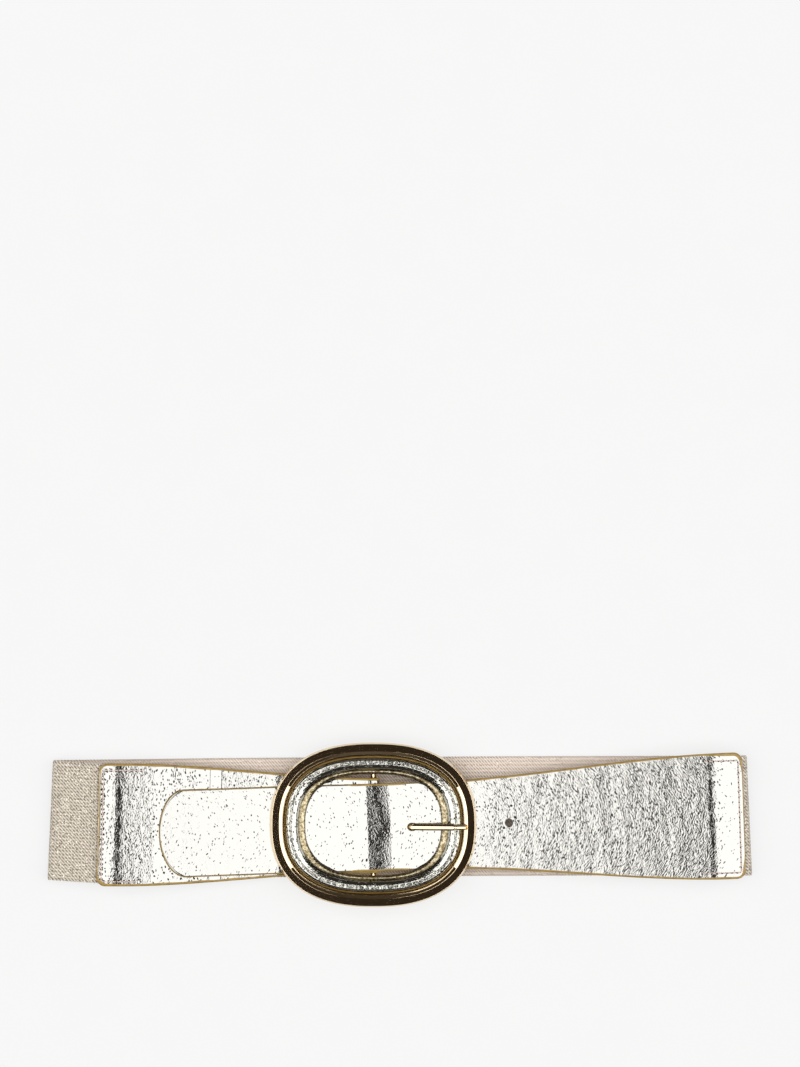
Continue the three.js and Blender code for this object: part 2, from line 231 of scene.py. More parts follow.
def put(tree, kind, settings=None, links=None):
    """Adds a node, sets its fields and sockets, and joins its sockets to others. A ramp's stops are
    places with hex colours or grey values."""
    made = tree.nodes.new("ShaderNode" + kind)
    for name, value in (settings or {}).items():
        if name == "stops":
            ramp = made.color_ramp
            while len(ramp.elements) < len(value):
                ramp.elements.new(0.5)
            for element, (place, colour) in zip(ramp.elements, value):
                element.position = place
                element.color = linear(colour) if isinstance(colour, str) else [colour] * 3 + [1]
        elif isinstance(name, str) and name in made.bl_rna.properties:
            setattr(made, name, value)
        else:
            made.inputs[name].default_value = value
    for name, source in (links or {}).items():
        tree.links.new(source, made.inputs[name])
    return made


def finish_of(name):
    """A new material and its empty node tree."""
    material = bpy.data.materials.new(name)
    material.use_nodes = True
    material.node_tree.nodes.clear()
    return material, material.node_tree


def specks(tree, place, size, share):
    """A mask of small round specks, one in each picked cell of this size."""
    cells = put(tree, "TexVoronoi", {"Scale": 1 / size}, {"Vector": place})
    chance = put(tree, "SeparateColor", {}, {"Color": cells.outputs["Color"]})
    picked = put(tree, "Math", {"operation": "LESS_THAN", 1: share}, {0: chance.outputs["Red"]})
    near = put(tree, "ValToRGB", {"stops": [(0.25, 1.0), (0.45, 0.0)]},
               {"Fac": cells.outputs["Distance"]})
    both = put(tree, "Math", {"operation": "MULTIPLY"},
               {0: picked.outputs["Value"], 1: near.outputs["Color"]})
    return both.outputs["Value"]


# A wave texture at scale 1 repeats after this length
wave_turn = 0.314


def woven_face(name, tones, slope, twill_pitch, row_pitch, flecked):
    """Woven elastic. Rows of short slanting stitches in pale yarn give a fine, grainy matt cloth.
    Stitches and flecks are drawn a little coarser than real ones, so that they show. tones are the
    yarn, the gaps between its stitches, grey flecks and metallic glints."""
    material, tree = finish_of(name)
    place = put(tree, "UVMap", {"uv_map": "cut"}).outputs["UV"]
    uneven = put(tree, "TexNoise", {"Scale": 1 / (0.9 * MM), "Detail": 2}, {"Vector": place})
    turned = put(tree, "Mapping", {"Rotation": (0, 0, slope)}, {"Vector": place})
    twill = put(tree, "TexWave", {
        "bands_direction": "X", "Scale": wave_turn / twill_pitch, "Distortion": 1.1, "Detail Scale": 1.2,
    }, {"Vector": turned.outputs["Vector"]})
    rows = put(tree, "TexWave", {
        "bands_direction": "Y", "Scale": wave_turn / row_pitch, "Distortion": 0.8,
    }, {"Vector": place})
    broken = put(tree, "MapRange", {"To Min": 0.35, "To Max": 1.0}, {"Value": rows.outputs["Fac"]})
    slant = put(tree, "Math", {"operation": "MULTIPLY"},
                {0: twill.outputs["Fac"], 1: broken.outputs["Result"]})
    depth = put(tree, "MixRGB", {"Fac": 0.45},
                {"Color1": slant.outputs["Value"], "Color2": uneven.outputs["Fac"]})
    colour = put(tree, "ValToRGB", {"stops": [(0.25, tones[0]), (0.6, tones[1])]},
                 {"Fac": depth.outputs["Color"]}).outputs["Color"]
    for tone, size, share in ((tones[2], 0.95 * MM, flecked), (tones[3], 0.85 * MM, flecked)):
        colour = put(tree, "MixRGB", {"Color2": linear(tone)},
                     {"Fac": specks(tree, place, size, share), "Color1": colour}).outputs["Color"]
    relief = put(tree, "Bump", {"invert": True, "Strength": 0.6, "Distance": 0.1 * MM},
                 {"Height": depth.outputs["Color"]})
    shader = put(tree, "BsdfPrincipled", {
        "Roughness": 0.72, "Sheen Weight": 0.15, "Sheen Roughness": 0.5, "Specular IOR Level": 0.3,
    }, {"Base Color": colour, "Normal": relief.outputs["Normal"]})
    put(tree, "OutputMaterial", {}, {"Surface": shader.outputs["BSDF"]})
    return material


def elastic_band():
    left = stacked(left_line[:3], -tuck_stack)
    right = stacked(right_line[2:], -tuck_stack)
    left_end = point_on(left, buckle_end_x + elastic_tuck)
    right_end = point_on(right, strap_end_x - elastic_tuck)
    right_crown = right[1]
    strap_middle = [strap_y + strap_tilt * (x - bar_x) for x in (right_crown[0], right_end[0])]
    rows = [
        (left_end, 0, buckle_end_skew),
        (left[1], 0.2, buckle_end_skew),
        ((-fold_x, fold_height, fold_bend), fold_left_y, fold_skew),
        ((-fold_x, back_z, fold_bend), fold_left_y, fold_skew),
        ((-fold_x / 2, back_z, 0), fold_left_y + elastic_bow, 0),
        ((0, back_z, 0), (fold_left_y + fold_right_y + elastic_bow) / 2, 0),
        ((fold_x, back_z, fold_bend), fold_right_y, -fold_skew),
        ((fold_x, fold_height, fold_bend), fold_right_y, -fold_skew),
        (right_crown, strap_middle[0], -strap_tilt),
        (right_end, strap_middle[1], -strap_tilt),
    ]
    numbers = np.arange(len(rows))
    cut = {
        "line": bent_line([row[0] for row in rows]),
        "across": lambda x, at: (
            np.interp(at, numbers, [row[1] for row in rows]),
            np.interp(at, numbers, [row[2] for row in rows]),
        ),
    }
    length = cut["line"]["run"][-1]
    runs = np.linspace(0, length, math.ceil(3 * length / scallop_pitch))
    scallop = scallop_deep * np.cos(2 * np.pi * runs / scallop_pitch)
    half = elastic_wide / 2 - scallop_deep + scallop
    columns = np.linspace(-1, 1, 53)
    face = elastic_thick / 2
    section = [(c, -face, 1) for c in columns] + [(c, face, -1) for c in columns[::-1]]
    share, up, out = np.array(section).T
    across = half[:, None] * share[None, :]
    run = np.broadcast_to(runs[:, None], across.shape)
    thinner = 0.35 * smooth((np.abs(across) - half[:, None] + selvedge_wide) / selvedge_wide)
    ribs = rib_deep * np.cos(2 * np.pi * across / rib_pitch)
    height = up[None, :] * (1 - thinner) + out[None, :] * (0.03 + ribs)
    rings = lay(cut, run, across, height)
    spread = np.stack([run, across], axis=-1) * MM
    spread = np.concatenate([spread, spread[:, :1]], axis=1)
    sides = np.zeros(len(section), int)
    sides[len(columns) - 1:-1] = 1
    return skin("elastic", rings, spread, material_of=sides), length


elastic, elastic_length = elastic_band()
elastic.data.materials.append(woven_face(
    "woven elastic with metallic yarn", ("#c9c0b1", "#7a7063", "#5d554b", "#ece4d5"),
    math.radians(44), 1.2 * MM, 1.75 * MM, 0.34))
elastic.data.materials.append(woven_face(
    "woven elastic inner side", ("#d5c8bc", "#9f9184", "#9a8b7e", "#e0d4c8"),
    math.radians(-42), 1.1 * MM, 1.9 * MM, 0.1))
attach(elastic, "root")
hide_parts("elastic_band")


# Buckle panel
# The left leather part: goatskin under a rolled-on champagne foil, wide where it is sewn to the elastic,
# narrow where it turns round the centre bar and runs back under itself.
buckle_end_wide = 61.4
buckle_bar_wide = 47.4
buckle_flare = 125
buckle_y = -0.4
return_long = 76.5
end_round = 4.5
crease_x = bar_x - return_long
panel_step = 0.55

# The panel lies level over the elastic's crown, so that it mirrors the dark room there as a band
crown_run = 10.4

# A seam's row along the end, its rows round both corners, and how far those two run
left_seam = {"in": 2.5, "top": 27.3, "bottom": -28.4, "top_long": 21, "bottom_long": 19}


def rounded(half, from_end, radius):
    """Half width near a square end with round corners."""
    d = np.clip(from_end, 0, radius)
    return half - radius + np.sqrt(radius ** 2 - (radius - d) ** 2)


def panel_line():
    _, crown, foot, ramp_foot, ramp_top, wrap_top = left_line
    crease_from = point_on(left_line, crease_x - 33)
    crease_low = point_on(left_line, crease_x - 5.5)
    crease_top = point_on(left_line, crease_x)
    under = stacked([crown, foot, ramp_foot], -layer)
    return [
        point_on(left_line, buckle_end_x), crown,
        (crease_from[0], crease_from[1], 30),
        (crease_low[0], crease_low[1] - 0.9, 4),
        (crease_top[0], crease_top[1], 4),
        foot, ramp_foot, ramp_top, wrap_top,
        (wrap_top[0], bar_z - wrap_radius, wrap_radius),
        (bar_x - wrap_radius, bar_z - wrap_radius, wrap_radius),
        (ramp_foot[0] + 4.4, return_z, 12),
        under[1], point_on(under, crease_x),
    ]


# Past this corner number the panel has turned round the bar
panel_turned = 8.5


def panel_across(x, at):
    share = (bar_x - x) / (bar_x - buckle_end_x)
    return buckle_y * (1 - share), buckle_end_skew * np.maximum(0, share)


panel_cut = {"line": bent_line(panel_line()), "across": panel_across}
panel_length = panel_cut["line"]["run"][-1]


def panel_half(run, inset=0):
    flare = smooth((bar_x - on_line(panel_cut, "x", run)) / buckle_flare)
    half = (buckle_bar_wide + (buckle_end_wide - buckle_bar_wide) * flare) / 2
    half = half - inset - np.where(on_line(panel_cut, "at", run) > panel_turned, gap, 0)
    return rounded(half, run - inset, end_round - inset)


def pebbles(run, across, wide, long, seed):
    """Seeded bumps of the skin, wide along the belt and long across it."""
    shape = np.broadcast(run, across).shape
    u = (np.broadcast_to(run, shape) / wide).ravel().tolist()
    v = (np.broadcast_to(across, shape) / long).ravel().tolist()
    return np.array([noise.noise((a, b, seed)) for a, b in zip(u, v)]).reshape(shape)


def inside(value, low, high, soft=0.6):
    return smooth((value - low) / soft) * smooth((high - value) / soft)


def seam_dips(seam, from_end, across):
    """How deep each of a seam's three rows pulls the leather in."""
    rows = [
        (from_end - seam["in"], across, seam["bottom"], seam["top"]),
        (across - seam["top"], from_end, seam["in"], seam["in"] + seam["top_long"]),
        (across - seam["bottom"], from_end, seam["in"], seam["in"] + seam["bottom_long"]),
    ]
    return [0.24 * np.exp(-(off / 0.7) ** 2) * inside(*reach) for off, *reach in rows]


def bell(value, middle, reach):
    """A soft bell that is 1 at its middle."""
    return np.exp(-((value - middle) / reach) ** 2)


def panel_relief(run, across):
    """Height of the skin over the flat cut, and how coarse its grain is."""
    coarse = 0.02 * pebbles(run, across, 2.2, 3.6, 3.1) + 0.03 * pebbles(run, across, 7, 16, 8.4)
    above = panel_cut["line"]["at"] < panel_turned
    crease_run = np.interp(crease_x, panel_cut["line"]["x"][above], panel_cut["line"]["run"][above])
    stretched = inside(run, crease_run - 6.2, crease_run + 0.6, 0.8)
    near_end = 1 - smooth((run - 12) / 8)
    banded = bell(run, crown_run, 5)
    grain = 0.92 + 0.4 * near_end * (1 - banded) + 0.5 * bell(run, 0, 4) - 0.12 * banded
    grain = grain + 0.5 * inside(run, crease_run - 26, crease_run - 7, 4)
    grain = grain * (1 - 0.97 * stretched) + 0.25 * (1 - stretched) * pebbles(run, across, 14, 22, 5.5)
    flattened = 0.06 * (1 - bell(run, crown_run, 8.5)) * (1 - smooth((run - 20) / 20))
    rise = coarse * (1 - 0.8 * stretched) + flattened
    for dip in seam_dips(left_seam, run, across):
        rise = rise - dip
    return rise, np.clip(grain, 0.05, 1.4)


def give_grain(piece, values):
    """Writes how coarse the grain is at each corner of a mesh, for the leather's material."""
    piece.data.attributes.new("grain", "FLOAT", "POINT").data.foreach_set(
        "value", values.astype(np.float32).ravel())


def leather_body(name, cut, half, runs, columns, relief, inset, bow=None, fan=0):
    """Leather as a closed body: the foiled skin with its relief above, the plain flesh side below.
    bow lifts skin and flesh side together, and fan spreads the grain towards both sides."""
    top = np.linspace(-1, 1, columns)
    below = np.linspace(1, -1, 9)
    high = leather_thick / 2
    share = np.concatenate([top, below])
    wide = half(runs, inset)
    across = wide[:, None] * share[None, :]
    run = np.broadcast_to(runs[:, None], across.shape)
    rise, grain = relief(runs[:, None], across[:, :columns])
    from_edge = np.minimum(wide[:, None] * (1 - np.abs(share[None, :columns])), 1.2)
    rolled = 0.16 * (1 - from_edge / 1.2) ** 2
    height = np.full(across.shape, -high + 0.03)
    height[:, :columns] = high - 0.1 + rise - rolled
    if bow is not None:
        height += bow(runs[:, None], across)
    rings = lay(cut, run, across, height)
    spread = np.stack([run + fan * across ** 2, across], axis=-1) * MM
    spread = np.concatenate([spread, spread[:, :1]], axis=1)
    sides = np.zeros(len(share), int)
    sides[columns - 1:] = 1
    piece = skin(name, rings, spread, material_of=sides)
    coarse = np.zeros(across.shape)
    coarse[:, :columns] = grain
    give_grain(piece, coarse)
    return piece


def foiled_leather(name, foil, painted_pore_shade, dull, deep):
    """Goatskin under rolled-on metal foil. Mirror-like ridges throw back bright and dark dashes, and
    the pore hollows between them are painted near black as painted dark reflection. Both are drawn
    a little coarser than real grain.
    dull is the foil's roughness, and deep the height of its ridges."""
    material, tree = finish_of(name)
    ridge_wide = 0.75 * MM
    ridge_long = 1.3 * MM
    place = put(tree, "UVMap", {"uv_map": "cut"}).outputs["UV"]
    grain = put(tree, "Attribute", {"attribute_name": "grain"}).outputs["Fac"]
    bend = put(tree, "TexNoise", {"Scale": 1 / (5 * MM), "Detail": 2}, {"Vector": place})
    centred = put(tree, "VectorMath", {"operation": "SUBTRACT", 1: (0.5, 0.5, 0.5)},
                  {0: bend.outputs["Color"]})
    pushed = put(tree, "VectorMath", {"operation": "SCALE", "Scale": 3.0 * MM},
                 {0: centred.outputs["Vector"]})
    bent = put(tree, "VectorMath", {"operation": "ADD"}, {0: place, 1: pushed.outputs["Vector"]})
    ridged = put(tree, "Mapping", {"Scale": (1 / ridge_wide, 1 / ridge_long, 1)},
                 {"Vector": bent.outputs["Vector"]})
    ridges = put(tree, "TexNoise", {"Scale": 1.0, "Detail": 1.0, "Roughness": 0.4},
                 {"Vector": ridged.outputs["Vector"]})
    cells = put(tree, "TexVoronoi", {"Scale": 0.7}, {"Vector": ridged.outputs["Vector"]})
    chance = put(tree, "SeparateColor", {}, {"Color": cells.outputs["Color"]})
    turned = put(tree, "MapRange", {"To Min": 0.32, "To Max": -0.68}, {"Value": chance.outputs["Red"]})
    spare = put(tree, "Math", {"operation": "MULTIPLY_ADD", 1: 0.45},
                {0: grain, 2: turned.outputs["Result"]})
    picked = put(tree, "MapRange", {"From Min": 0.0, "From Max": 0.16},
                 {"Value": spare.outputs["Value"]})
    shrink = put(tree, "MapRange", {"To Min": 0.1, "To Max": 0.0}, {"Value": grain})
    far = put(tree, "Math", {"operation": "ADD"},
              {0: cells.outputs["Distance"], 1: shrink.outputs["Result"]})
    near = put(tree, "ValToRGB", {"stops": [(0.27, 1.0), (0.36, 0.0)]}, {"Fac": far.outputs["Value"]})
    pore_pits_and_shade = put(tree, "Math", {"operation": "MULTIPLY"},
                {0: picked.outputs["Result"], 1: near.outputs["Color"]})
    strong = put(tree, "Math", {"operation": "MULTIPLY"}, {0: ridges.outputs["Fac"], 1: grain})
    height = put(tree, "Math", {"operation": "MULTIPLY_ADD", 1: -0.5},
                 {0: pore_pits_and_shade.outputs["Value"], 2: strong.outputs["Value"]})
    relief = put(tree, "Bump", {"Strength": 1.0, "Distance": deep}, {"Height": height.outputs["Value"]})
    # The pore hollows are painted near black: painted dark reflection, standing for the dark room that
    # the foil's grain would mirror.
    colour = put(tree, "MixRGB", {"Color1": linear(foil), "Color2": linear(painted_pore_shade)},
                 {"Fac": pore_pits_and_shade.outputs["Value"]})
    rough = put(tree, "MapRange", {"To Min": dull, "To Max": dull * 1.6}, {"Value": bend.outputs["Fac"]})
    shader = put(tree, "BsdfPrincipled", {"Metallic": 1.0}, {
        "Base Color": colour.outputs["Color"], "Normal": relief.outputs["Normal"],
        "Roughness": rough.outputs["Result"],
    })
    put(tree, "OutputMaterial", {}, {"Surface": shader.outputs["BSDF"]})
    return material


def flesh_side():
    """The leather's bare underside. A short matt nap in pale tan, with soft cloudy tone."""
    material, tree = finish_of("split leather flesh side")
    place = put(tree, "UVMap", {"uv_map": "cut"}).outputs["UV"]
    nap = put(tree, "TexNoise", {"Scale": 1 / (0.8 * MM), "Detail": 4}, {"Vector": place})
    tone = put(tree, "ValToRGB", {"stops": [(0.3, "#8a7255"), (0.7, "#b39b7c")]},
               {"Fac": nap.outputs["Fac"]})
    relief = put(tree, "Bump", {"Strength": 0.5, "Distance": 0.1 * MM}, {"Height": nap.outputs["Fac"]})
    shader = put(tree, "BsdfPrincipled", {"Roughness": 0.9, "Sheen Weight": 0.2}, {
        "Base Color": tone.outputs["Color"], "Normal": relief.outputs["Normal"]})
    put(tree, "OutputMaterial", {}, {"Surface": shader.outputs["BSDF"]})
    return material


# The near-black second colour is painted into the pore hollows as dark reflection.
foil = foiled_leather("foiled goatskin", "#a8a7a3", "#141312", 0.06, 0.045 * MM)
flesh = flesh_side()

# The leather stops this far inside its outline, where the edge paint goes round it. Its rows stand
# close where the panel shows, and wider where it lies under the strap and runs back.
edge_in = 0.35
start_rows = edge_in + (end_round - edge_in) * (1 - np.cos(np.linspace(0, np.pi / 2, 12)))
shown_long = panel_length * 0.56
panel_runs = np.unique(np.concatenate([
    start_rows, np.arange(end_round + 0.3, shown_long, panel_step),
    np.linspace(shown_long, panel_length - edge_in, 70),
]))
buckle_panel = leather_body(
    "buckle_panel_leather", panel_cut, panel_half, panel_runs, 101, panel_relief, edge_in)
for material in (foil, flesh):
    buckle_panel.data.materials.append(material)
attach(buckle_panel, "root")
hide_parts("buckle_panel")


# Painted edges
# Every cut edge of the leather is sealed with several coats of gold edge paint, sanded between coats,
# which leave a rounded satin bead about a millimetre wide and thicker at some corners.
edge_step = 0.9


def outline(half, length, tip_long):
    """The cut's outline as run and across, all the way round."""
    tip = tip_long * (1 - np.cos(np.linspace(0, np.pi / 2, 26)[1:]))
    middle = np.arange(tip_long + 0.6, length - end_round - 0.6, edge_step)
    last = length - end_round * (1 - np.cos(np.linspace(np.pi / 2, 0, 10)))
    runs = np.concatenate([tip, middle, last])
    side = half(runs)
    first = np.linspace(side[0], -side[0], 4 if side[0] < 8 else 30)[1:-1]
    shut = np.linspace(-side[-1], side[-1], 30)[1:-1]
    return np.concatenate([
        np.stack([np.zeros(len(first)), first], axis=1),
        np.stack([runs, -side], axis=1),
        np.stack([np.full(len(shut), length), shut], axis=1),
        np.stack([runs, side], axis=1)[::-1],
    ])


def painted_edge(name, cut, around, wide):
    """The bead of paint along an outline, rounded over the edge from skin to flesh side."""
    tangent = np.roll(around, -1, axis=0) - np.roll(around, 1, axis=0)
    tangent /= np.linalg.norm(tangent, axis=1)[:, None]
    inward = np.stack([-tangent[:, 1], tangent[:, 0]], axis=1)
    middle = around.mean(axis=0)
    if np.einsum("ij,ij->i", inward, middle - around).sum() < 0:
        inward = -inward
    high = leather_thick / 2
    section = [
        (1.0, high - 0.14), (0.92, high - 0.02), (0.7, high + 0.02), (0.42, high - 0.04),
        (0.18, high - 0.22), (0.04, high * 0.5), (0.0, 0), (0.04, -high * 0.5),
        (0.2, -high + 0.08), (0.45, -high), (0.9, -high + 0.03), (1.0, 0),
    ]
    run = np.arange(len(around)) * edge_step
    waver = np.array([1 + 0.22 * noise.noise((r / 9, 4.4, 1.7)) for r in run])
    rings = np.stack([
        lay(cut, *(around + inward * (share * wide * waver)[:, None]).T, np.full(len(around), up))
        for share, up in section
    ], axis=1)
    return skin(name, rings, closed=True)


def edge_paint_finish():
    """Gold edge paint. Fine mica in an acrylic binder gives a satin ochre with soft patches."""
    material, tree = finish_of("acrylic edge paint with mica")
    place = put(tree, "TexCoord").outputs["Object"]
    coat = put(tree, "TexNoise", {"Scale": 1 / (3 * MM), "Detail": 3}, {"Vector": place})
    mica = put(tree, "TexNoise", {"Scale": 1 / (0.35 * MM), "Detail": 2}, {"Vector": place})
    tone = put(tree, "ValToRGB", {"stops": [(0.3, "#846a30"), (0.75, "#a18647")]},
               {"Fac": coat.outputs["Fac"]})
    relief = put(tree, "Bump", {"Strength": 0.4, "Distance": 0.06 * MM}, {"Height": mica.outputs["Fac"]})
    shader = put(tree, "BsdfPrincipled", {"Roughness": 0.42, "Metallic": 0.15}, {
        "Base Color": tone.outputs["Color"], "Normal": relief.outputs["Normal"]})
    put(tree, "OutputMaterial", {}, {"Surface": shader.outputs["BSDF"]})
    return material


edge_paint = edge_paint_finish()
panel_around = outline(panel_half, panel_length, end_round)
low_corner = bell(panel_around[:, 1], -29.5, 3.5) * (1 - smooth(panel_around[:, 0] / 14))
panel_edge = painted_edge("buckle_panel_edge", panel_cut, panel_around, 1.2 + 0.6 * low_corner)
panel_edge.data.materials.append(edge_paint)
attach(panel_edge, "root")


# Strap
# The right leather part: sewn to the elastic at its wide end, it narrows into the strap that runs over
# the bar and ends in a round tip. Its holes are bare punched holes without eyelets.
strap_wide = 43.8
strap_end_wide = 63.2
strap_flare_from = 28
strap_flare_long = 150
strap_reach = 107
tip_long = 13
hole_wide = 4
hole_pitch = 24.5
hole_from_bar = 18.8
strap_step = 0.46
bow_high = 0.95
right_seam = {"in": 2.3, "top": 27.6, "bottom": -28.4, "top_long": 19, "bottom_long": 21}

# The prong has pulled its hole long, and away from the bar
prong_y = -1
pulled_wide = 3.9
pulled_long = 4.8
pulled_by = 0.6

# A punch cuts between these heights, clear of the layer that runs back under the panel
punch_low = 3.5
punch_high = 20

# Going right, the grain grows coarse from here, where more pore hollows are painted dark; the foil
# mirrors the dark room here, and is drawn smooth from here
coarse_from_x = 38
dark_x = 154.5
smooth_x = 157.5

over_left = stacked(left_line, layer)
strap_corners = [
    point_on(over_left, bar_x - strap_reach), *over_left[2:5], *right_line[:4],
    point_on(right_line, strap_end_x),
]


def strap_middle(x):
    return strap_y + strap_tilt * (x - bar_x)


strap_cut = {
    "line": bent_line(strap_corners),
    "across": lambda x, at: (strap_middle(x), -strap_tilt),
}
strap_length = strap_cut["line"]["run"][-1]


def strap_half(run, inset=0):
    x = on_line(strap_cut, "x", run)
    flare = smooth((x - bar_x - strap_flare_from) / strap_flare_long)
    half = (strap_wide + (strap_end_wide - strap_wide) * flare) / 2 - inset
    back = np.clip((tip_long - run) / (tip_long - inset), 0, 1)
    tip = half * np.sqrt(np.maximum(0, 1 - back ** 2)) + 0.02
    return np.where(run < tip_long, tip,
                    rounded(half, strap_length - inset - run, end_round - inset))


def strap_relief(run, across):
    """Height of the skin over the flat cut, and how coarse its grain is."""
    x = on_line(strap_cut, "x", run)
    coarse = 0.02 * pebbles(run, across, 2.0, 3.4, 1.3) + 0.04 * pebbles(run, across, 8, 18, 6.2)
    coarsened = smooth((x - coarse_from_x) / 14)
    stretched = smooth((x - smooth_x) / 10)
    banded = bell(x, dark_x, 3.5) * (1 - stretched)
    over_bar = bell(x, bar_x + 4, 7.5)
    grain = 0.34 + 0.5 * over_bar + 0.2 * smooth((x + 4) / 10) + 0.54 * coarsened
    grain = grain - (0.3 * banded + 0.98 * stretched) * coarsened
    grain = grain + 0.3 * coarsened * (1 - stretched) * pebbles(run, across, 12, 20, 2.7)
    rise = coarse * (0.3 + 0.7 * coarsened * (1 - 0.8 * stretched))
    for dip in seam_dips(right_seam, strap_length - run, across):
        rise = rise - dip
    return rise, np.clip(grain, 0.05, 1.5)


def strap_bow(run, across):
    """Nothing lies on the strap in the buckle's window, so it bows up a little on both sides of the
    bar. Past the bar it sags first, latest in the middle of its width, so it bends there gently."""
    from_bar = on_line(strap_cut, "x", run) - bar_x
    left = smooth((from_bar + 34.5) / 11) * smooth((-from_bar - 6) / 14)
    right = smooth((36 - from_bar) / 12) * smooth((from_bar - 10) / 12)
    arched = bow_high * (left + right) * (1 - 0.4 * smooth((np.abs(across) - 14) / 8))
    bent_from = -0.6 + 3.4 * bell(across, 1.5, 7)
    sagged = 0.003 * np.clip(from_bar - bent_from, 0, 12) ** 2 * (1 - smooth((from_bar - 10) / 12))
    return arched - sagged


strap_tip_rows = edge_in + (tip_long - edge_in) * (1 - np.cos(np.linspace(0.06, np.pi / 2, 34)))
strap_runs = np.unique(np.concatenate([
    strap_tip_rows, np.arange(tip_long + 0.3, strap_length - end_round - 0.2, strap_step),
    strap_length - start_rows,
]))
strap = leather_body("strap_leather", strap_cut, strap_half, strap_runs, 101, strap_relief, edge_in,
                     bow=strap_bow, fan=0.012)
for material in (foil, flesh):
    strap.data.materials.append(material)


def changed(piece, other, operation):
    """Cuts another body from a piece or joins it on, and takes the other away."""
    change = piece.modifiers.new("change", "BOOLEAN")
    change.operation = operation
    change.object = other
    change.solver = "EXACT"
    mesh = bpy.data.meshes.new_from_object(piece.evaluated_get(bpy.context.evaluated_depsgraph_get()))
    piece.modifiers.clear()
    old, piece.data = piece.data, mesh
    bpy.data.meshes.remove(old)
    bpy.data.objects.remove(other)
    return piece


def punched(piece, places):
    """Cuts holes through a piece. places are x, y, width and length of each in millimetres."""
    for number, (x, y, wide, long) in enumerate(places):
        turn = around_circle(40)
        stretch = (long - wide) / 2 * np.sign(np.round(np.cos(turn), 6))
        ring = np.stack([x + np.cos(turn) * wide / 2 + stretch, y + np.sin(turn) * wide / 2], axis=-1)
        rings = [np.column_stack([ring, np.full(len(ring), z)]) for z in (punch_low, punch_high)]
        changed(piece, skin(f"punch_{number}", np.stack(rings) * MM), "DIFFERENCE")


holes = [bar_x + hole_from_bar + i * hole_pitch for i in range(3)]
punched(strap, [(holes[0] + pulled_by, prong_y, pulled_wide, pulled_long)])
punched(strap, [(x, strap_middle(x), hole_wide, hole_wide) for x in holes[1:]])
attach(strap, "root")
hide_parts("strap_panel")

strap_around = outline(strap_half, strap_length, tip_long)
along, across = strap_around.T
worn = 0.5 * smooth((along - strap_length + 9) / 6) * (1 - smooth((np.abs(across) - 20) / 6))
corners = 0.8 * bell(across, 30, 4) + 0.45 * bell(across, -28, 4)
edge_wide = 0.55 + 0.5 * smooth((along - 40) / 80) - worn
edge_wide = edge_wide + corners * smooth((along - strap_length + 22) / 14)
strap_edge = painted_edge("strap_edge", strap_cut, strap_around, edge_wide)
strap_edge.data.materials.append(edge_paint)
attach(strap_edge, "root")


# Seams
# Both leather parts are lockstitched to the elastic along their ends and round the corners, with a
# pinkish beige polyester thread that pulls a row of small pits into the leather.
stitch_pitch = 2.5
thread_long = 2.05
thread_wide = 0.85
thread_high = 0.6
pit_long = 1.15
pit_wide = 0.62
pit_off = 0.62


def beads(name, cut, rows, long, wide, high, up, offs, ahead_by=0.5):
    """Small closed ovals along rows, one or two to a stitch, laid at this height on the leather."""
    verts, faces = [], []
    reach = np.sin(np.linspace(-0.48, 0.48, 9) * np.pi)
    girth = np.sqrt(1 - np.abs(reach) ** 3)
    turns = around_circle(8)
    for start, finish in rows:
        start, finish = np.array(start, float), np.array(finish, float)
        length = np.linalg.norm(finish - start)
        ahead = (finish - start) / length
        aside = np.array([-ahead[1], ahead[0]])
        middles = [start + ahead * (k + ahead_by) * stitch_pitch + aside * off
                   for k in range(int(length / stitch_pitch)) for off in offs]
        for middle in middles:
            first = len(verts)
            for r, g in zip(reach, girth):
                spots = middle + ahead * r * long / 2 + np.outer(np.cos(turns) * g * wide / 2, aside)
                rise = up + np.sin(turns) * g * high / 2
                verts.extend(lay(cut, spots[:, 0], spots[:, 1], rise).tolist())
            for a in range(first, first + 64):
                b = a + 1 if (a - first) % 8 < 7 else a - 7
                faces.append((a, b, b + 8, a + 8))
            faces.append(tuple(range(first + 7, first - 1, -1)))
            faces.append(tuple(range(first + 64, first + 72)))
    mesh = bpy.data.meshes.new(name)
    mesh.from_pydata(verts, [], faces)
    mesh.polygons.foreach_set("use_smooth", [True] * len(faces))
    return linked(name, mesh)


def thread_finish():
    """Twisted polyester thread. The ply shows as short light and dark turns with a faint shine."""
    material, tree = finish_of("twisted polyester thread")
    place = put(tree, "TexCoord").outputs["Object"]
    ply = put(tree, "TexWave", {"bands_direction": "DIAGONAL", "Scale": wave_turn / (0.5 * MM)},
              {"Vector": place})
    tone = put(tree, "ValToRGB", {"stops": [(0.2, "#9a8479"), (0.8, "#d8c5ba")]},
               {"Fac": ply.outputs["Fac"]})
    shader = put(tree, "BsdfPrincipled", {"Roughness": 0.55, "Sheen Weight": 0.3},
                 {"Base Color": tone.outputs["Color"]})
    put(tree, "OutputMaterial", {}, {"Surface": shader.outputs["BSDF"]})
    return material


def pit_shade_finish():
    """Painted shade in the seam's pits: small dark ovals, dull and rough, where the thread pulls the
    leather in.
    """
    material, tree = finish_of("painted shade beside stitches")
    place = put(tree, "TexCoord").outputs["Object"]
    rough = put(tree, "TexNoise", {"Scale": 1 / (0.3 * MM), "Detail": 2}, {"Vector": place})
    tone = put(tree, "ValToRGB", {"stops": [(0.3, "#171310"), (0.7, "#352b23")]},
               {"Fac": rough.outputs["Fac"]})
    shader = put(tree, "BsdfPrincipled", {"Roughness": 0.8, "Specular IOR Level": 0.1},
                 {"Base Color": tone.outputs["Color"]})
    put(tree, "OutputMaterial", {}, {"Surface": shader.outputs["BSDF"]})
    return material


